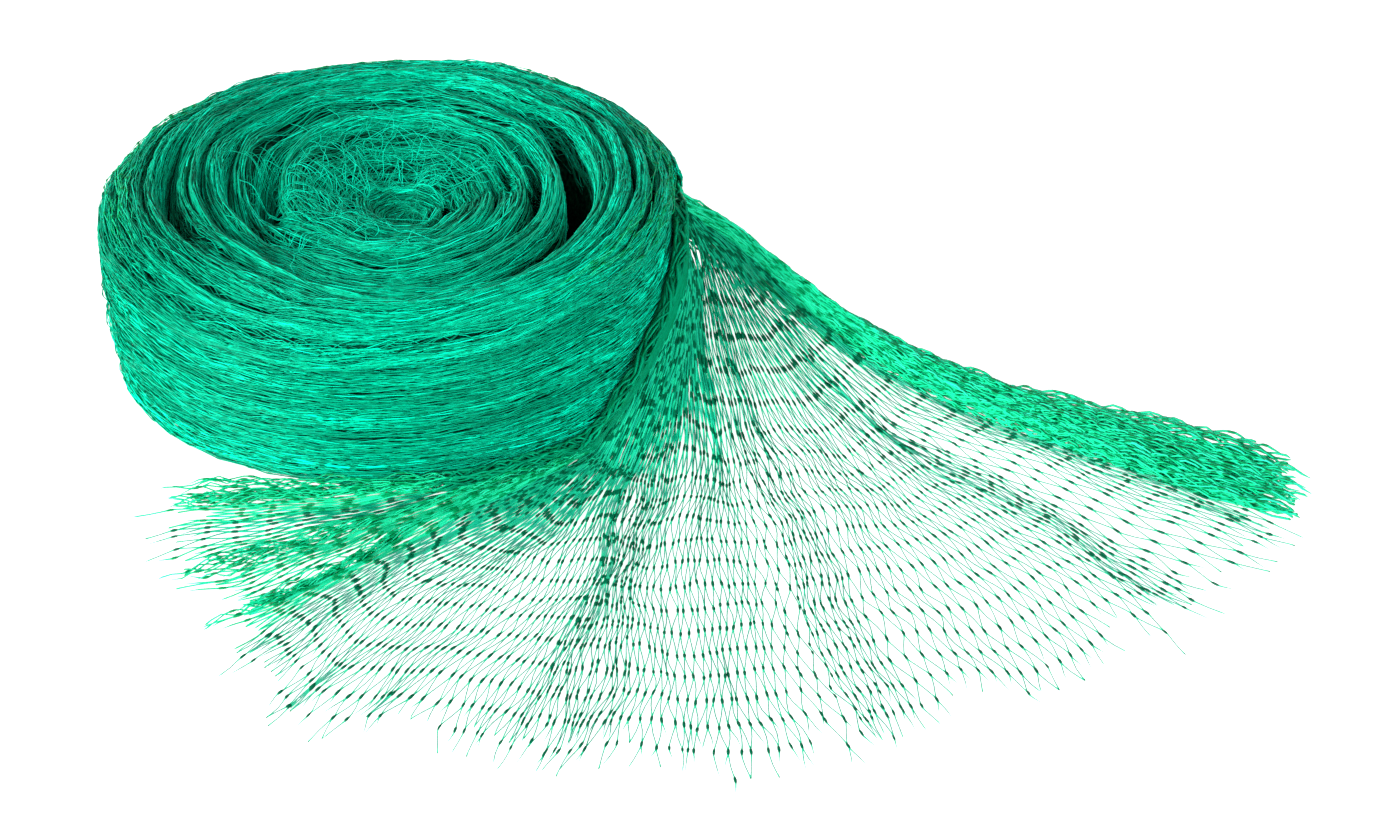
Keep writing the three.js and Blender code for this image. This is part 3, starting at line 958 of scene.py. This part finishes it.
def edge_loop():
    """A bit of the net that stands up loose from the roll's upper edge, over a few bars."""
    bars = int(rng.integers(2, 6))
    rows, step, share, along = strand_rows(0, bars)
    degrees = rng.uniform(-40, 220) - np.degrees(rows * BAR / ROLL_RADIUS)
    arc = np.sin(math.pi * rows / bars)
    zig = (share - 0.5) * 1.5 * np.where(step % 2 == 0, 1, -1)
    radius = rng.uniform(104, 115) + arc * rng.uniform(0, 2.0) + zig
    radius = np.minimum(radius, ROLL_RADIUS + 1)
    z = surface_height(radius, degrees) + arc * rng.uniform(0.4, 2.2) - 0.6
    radii = swell(along, 0.16, 0.5)
    return roll_place(radius, degrees, z), radii, along, float(rng.uniform(0.1, 0.9))


def wind_core(wound, packed):
    """The swirl in the middle: its turns show as rings of painted shade and highlight, round a
    dished eye darkened with painted shade.
    """
    place_piece("packed_core", core_body(packed), ["roll_core"])
    strands = lap_strands(core_radii, FIRST_TURN, SWIRL_TURNS, SWIRL_TURNS, count=90, depth=3.8,
                          shift=SWIRL_SHIFT, lock=2.2)
    for points, _, _, shade in strands:
        ring = np.hypot(points[:, 0] - CORE_OFFSET[0], points[:, 1] - CORE_OFFSET[1])
        points[:, 2] -= 4.5 * np.clip(1 - ring / 13, 0, 1) ** 2
        # painted shade and highlight: rings of lighter and darker tone across the swirl's turns, and
        # a dark eye in its middle
        eye = 1 - ease((ring - 1.5) / 4)
        shade += 0.26 * np.cos(2 * math.pi * ring / 3.1) - 0.5 * eye - 0.06
        np.clip(shade, LEAST_TONE, MOST_TONE, out=shade)
    place_strands("core_swirl_net", strands, wound)


def wind_wide_laps(wound, packed):
    """The inner laps; the last two stand apart from each other with deep grooves."""
    for lap in range(WIDE_LAPS + 1):
        name = f"wide_lap_{lap + 1}"
        first = max(FIRST_TURN, float(lap))
        last = min(lap + 1.0, WIDE_TURNS)
        depth = 26.0 if lap >= WIDE_LAPS - 1 else 7.0
        body = lap_body("packed_" + name, wide_radii, first, last, depth, -CORE_SHIFT, packed)
        place_piece("packed_" + name, body, [name])
        strands = lap_strands(wide_radii, first, last, WIDE_TURNS, count=155 if lap else 80,
                              depth=depth, shift=-CORE_SHIFT, lock=4.2, layers=3)
        place_strands(name + "_net", strands, wound)


def wind_thin_laps(wound, packed):
    """The outer laps, whose tops stand on edge side by side."""
    for lap in range(THIN_LAPS):
        name = f"thin_lap_{lap + 1}"
        first = max(FIRST_TURN, float(lap))
        depth = 24.0 if lap == 0 else 12.0
        outermost = lap == THIN_LAPS - 1
        body_end = lap + (0.97 if outermost else 1.0)
        body = lap_body("packed_" + name, thin_radii, first, body_end, depth, 0.0, packed, outermost)
        place_piece("packed_" + name, body, [name])
        strands = lap_strands(thin_radii, first, lap + 1.0, float(THIN_LAPS), count=120,
                              depth=depth, shift=0.0, lock=3.4)
        place_strands(name + "_net", strands, wound)


def wind_roll(wound, wall, bunched, packed):
    """The whole roll, from the swirl out to the wall, and the loose bits on its top."""
    wind_core(wound, packed)
    wind_wide_laps(wound, packed)
    wind_thin_laps(wound, packed)
    for part in range(4):
        place_strands(f"outer_wall_net_{part + 1}", wall_strands(110), wall)
    place_strands("edge_loops", [edge_loop() for _ in range(130)], bunched)
    place_strands("loose_hairs", [tangle_hair() for _ in range(250)], wound)


# ---- Setting ----

FLOOR_REACH = 12.0             # metres from the middle to the floor's edge


def set_floor():
    """A pale floor that gives off a soft light of its own."""
    made = Finish("pale_floor", Base_Color=(0.6, 0.6, 0.6, 1), Roughness=0.9,
                  Specular_IOR_Level=0.0, Emission_Color=(1, 1, 1, 1), Emission_Strength=0.85)
    corners = FLOOR_REACH * np.array([[-1, -1, 0], [1, -1, 0], [1, 1, 0], [-1, 1, 0]])
    mesh = mesh_from("floor", corners, [0, 1, 2, 3], [0], [4], made.material)
    floor = bpy.data.objects.new("floor", mesh)
    bpy.context.scene.collection.objects.link(floor)


def soft_light(name, place, target, size, power):
    """A square light that faces a point."""
    light = bpy.data.lights.new(name, "AREA")
    light.shape = "SQUARE"
    light.size = size
    light.energy = power
    lamp = bpy.data.objects.new(name, light)
    bpy.context.scene.collection.objects.link(lamp)
    lamp.location = place
    aim = np.array(target) - np.array(place)
    flat = math.hypot(aim[0], aim[1])
    lamp.rotation_euler = (math.atan2(flat, -aim[2]), 0, math.atan2(aim[1], aim[0]) - math.pi / 2)


def set_light():
    world = bpy.data.worlds.new("studio")
    bpy.context.scene.world = world
    world.use_nodes = True
    background = world.node_tree.nodes["Background"]
    background.inputs["Color"].default_value = (1, 1, 1, 1)
    background.inputs["Strength"].default_value = 0.45
    soft_light("key", (-1.5, -1.0, 0.7), (-0.05, 0.02, 0.03), 0.7, 62)
    soft_light("fill", (0.8, -1.5, 0.7), (0.0, 0.0, 0.03), 1.0, 34)


def set_camera():
    camera = bpy.data.objects.new("camera", bpy.data.cameras.new("camera"))
    bpy.context.scene.collection.objects.link(camera)
    camera.data.sensor_width = 36
    camera.data.lens = 78.17
    camera.location = (0.004, -1.0331, 0.623)
    camera.rotation_euler = (math.radians(59.5), 0, 0)
    camera.data.clip_start = 0.02
    bpy.context.scene.camera = camera
    bpy.context.scene.view_settings.view_transform = "Standard"


set_camera()
set_floor()
set_light()
packed_shade_net = packed_shade_finish()
# Strands: joint, neck next to the joint, then the bar's tones from dark to pale. The spread
# net's tones run from strands lying close together to single open ones.
spread_net = strand_finish("spread_netting", (0.0, 0.10, 0.045), (0.01, 0.55, 0.28),
                           [(0.0, 0.09, 0.045), (0.0, 0.24, 0.13), (0.01, 0.50, 0.30),
                            (0.04, 0.30, 0.21), (0.08, 0.34, 0.25), (0.15, 0.42, 0.34)], 0.25)
bunched_net = strand_finish("bunched_netting", (0.0, 0.25, 0.08), (0.0, 0.52, 0.24),
                            [(0.0, 0.34, 0.14), (0.01, 0.60, 0.29), (0.03, 0.80, 0.49)])
wound_net = strand_finish("rolled_netting", (0.0, 0.30, 0.16), (0.0, 0.42, 0.24),
                          [(0.0, 0.10, 0.05), (0.0, 0.43, 0.25), (0.0, 0.88, 0.58)])
wall_net = strand_finish("outer_netting", (0.0, 0.27, 0.14), (0.0, 0.46, 0.26),
                         [(0.0, 0.17, 0.09), (0.0, 0.55, 0.33), (0.0, 0.97, 0.66)])
# painted shade: the tail's finish is a darker set of the net's tones, for the strands along the
# roll's flank
tail_net = strand_finish("tail_netting", (0.0, 0.18, 0.07), (0.0, 0.31, 0.14),
                         [(0.0, 0.10, 0.045), (0.0, 0.29, 0.14), (0.01, 0.57, 0.26)])
spread_fan(spread_net, bunched_net, tail_net)
wind_roll(wound_net, wall_net, bunched_net, packed_shade_net)
